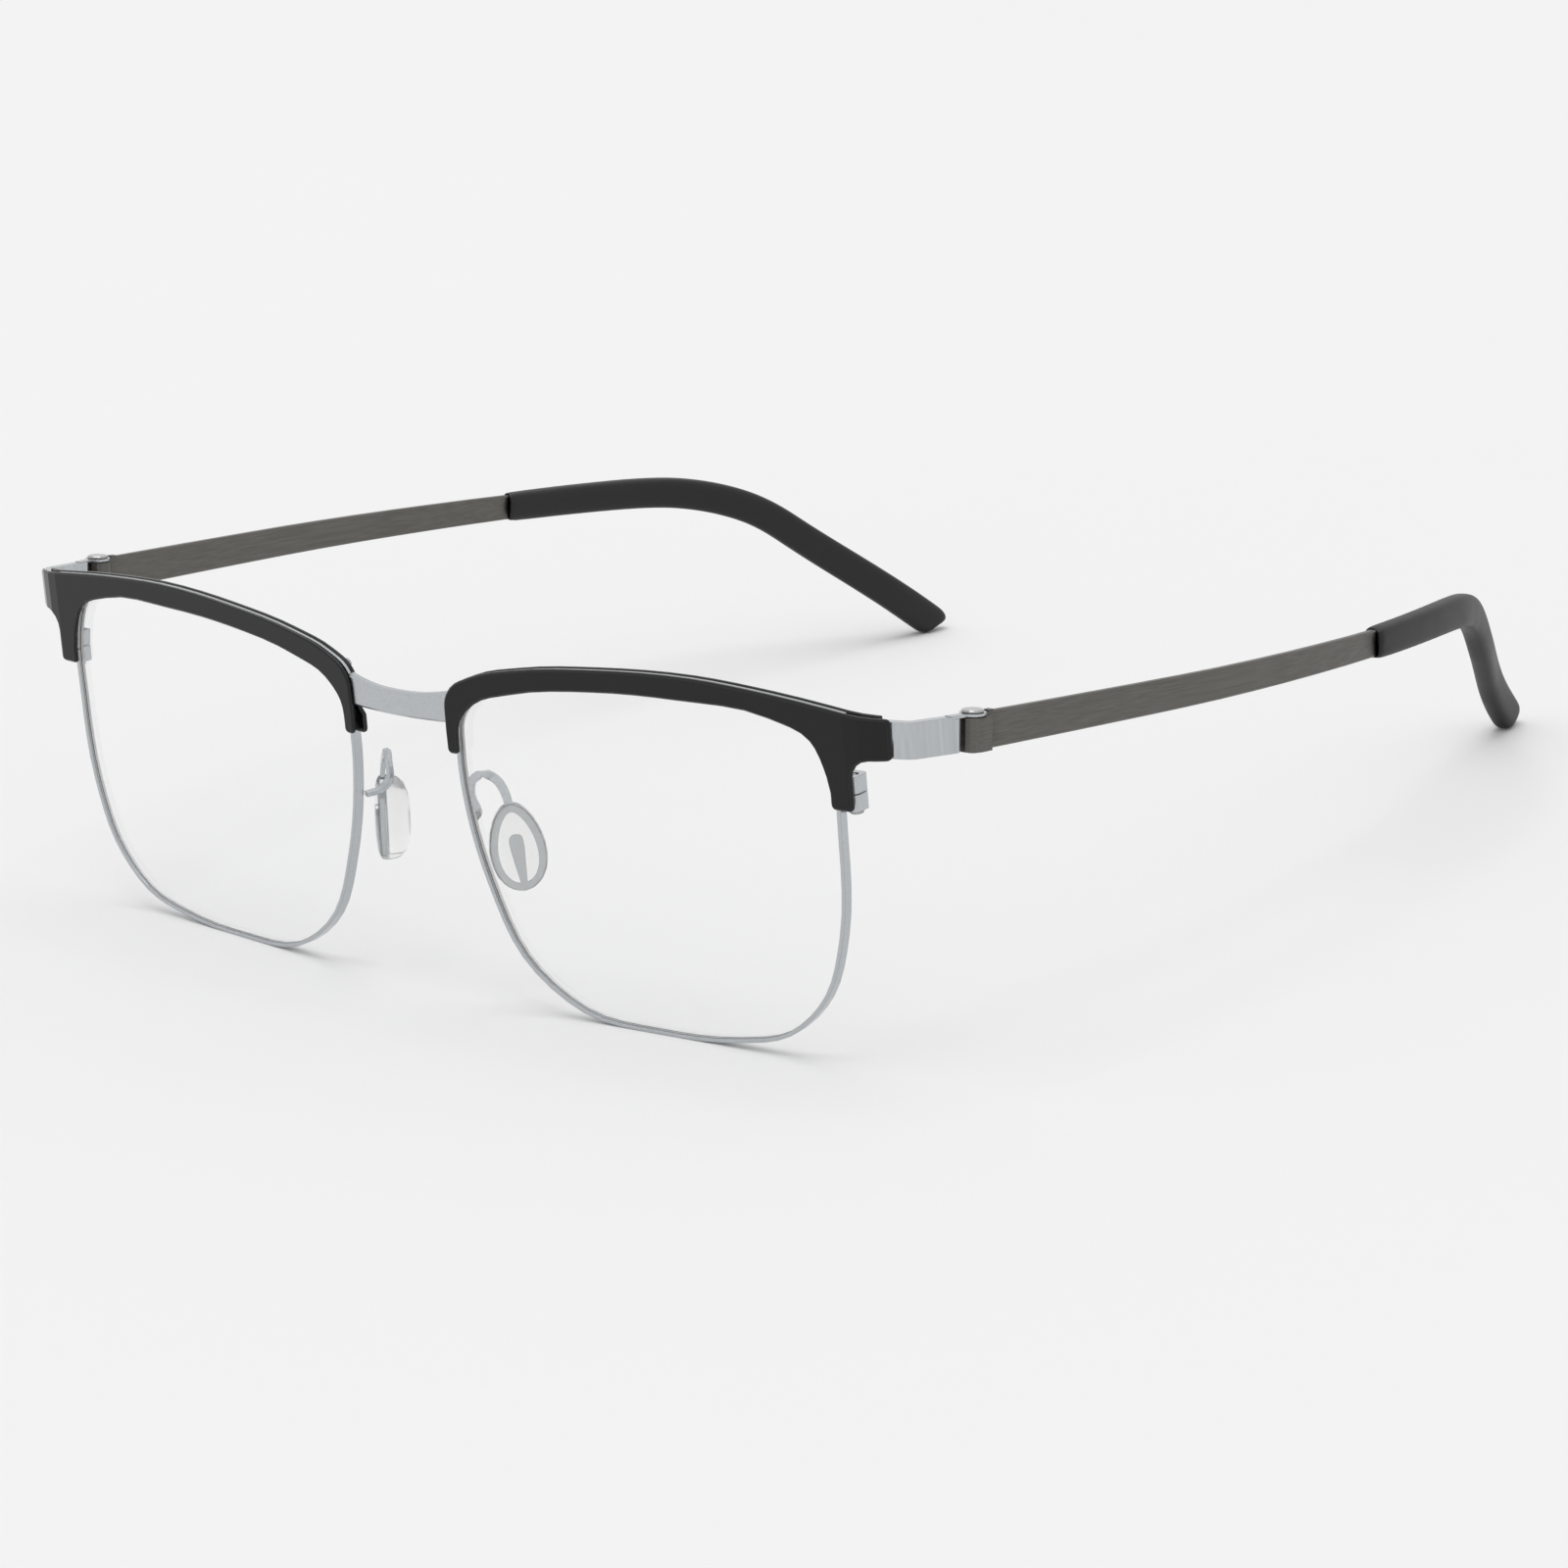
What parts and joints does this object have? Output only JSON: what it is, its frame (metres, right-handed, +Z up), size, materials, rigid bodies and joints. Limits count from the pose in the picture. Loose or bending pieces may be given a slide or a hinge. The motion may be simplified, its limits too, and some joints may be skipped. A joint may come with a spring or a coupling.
{
  "type": "browline eyeglasses",
  "caption": "Browline eyeglasses with black brow trims, thin silver eyewires, gunmetal temples with black rubber tips, clear nose pads on metal arms, and folding temples",
  "frame": {"origin": "on the table, under the middle of the frame's overall box, with the temples open", "axes": "+X to the wearer's left, across both lenses; -Y out of the front of the lenses; +Z up from the table"},
  "size_m": [0.154, 0.1532, 0.0444],
  "materials": {
    "bright_metal": "satin silver plating",
    "gunmetal": "dark gunmetal plating, satin",
    "brow_black": "black, satin gloss",
    "sleeve_rubber": "matt black rubber",
    "clear_silicone": "clear soft silicone",
    "lens_clear": "clear and coated against glare",
    "screw_steel": "bare steel"
  },
  "bodies": {
    "front": {"bridge": "bright_metal", "left_eyewire": "bright_metal", "right_eyewire": "bright_metal", "left_lens": "lens_clear", "right_lens": "lens_clear", "left_brow_trim": "brow_black", "right_brow_trim": "brow_black", "left_brow_liner": "brow_black", "right_brow_liner": "brow_black", "left_brow_screw_inner": "screw_steel", "right_brow_screw_inner": "screw_steel", "left_brow_screw_outer": "screw_steel", "right_brow_screw_outer": "screw_steel", "left_closing_block_upper": "bright_metal", "right_closing_block_upper": "bright_metal", "left_closing_block_lower": "bright_metal", "right_closing_block_lower": "bright_metal", "left_closing_screw": "screw_steel", "right_closing_screw": "screw_steel", "left_end_piece": "bright_metal", "right_end_piece": "bright_metal", "left_hinge_pin": "bright_metal", "right_hinge_pin": "bright_metal", "left_pad_arm": "bright_metal", "right_pad_arm": "bright_metal", "left_nose_pad": "clear_silicone", "right_nose_pad": "clear_silicone"},
    "left_arm": {"left_temple": "gunmetal", "left_temple_tip": "sleeve_rubber"},
    "right_arm": {"right_temple": "gunmetal", "right_temple_tip": "sleeve_rubber"}
  },
  "joints": [
    {"name": "left_fold", "type": "hinge", "parent": "front", "child": "left_arm", "pos_m": [0.07424, -0.0576, 0.0379], "axis": [0, 0.1162, 0.9932], "range_deg": [0, 82]},
    {"name": "right_fold", "type": "hinge", "parent": "front", "child": "right_arm", "pos_m": [-0.07424, -0.0576, 0.0379], "axis": [0, -0.1162, -0.9932], "range_deg": [0, 77]}
  ]
}
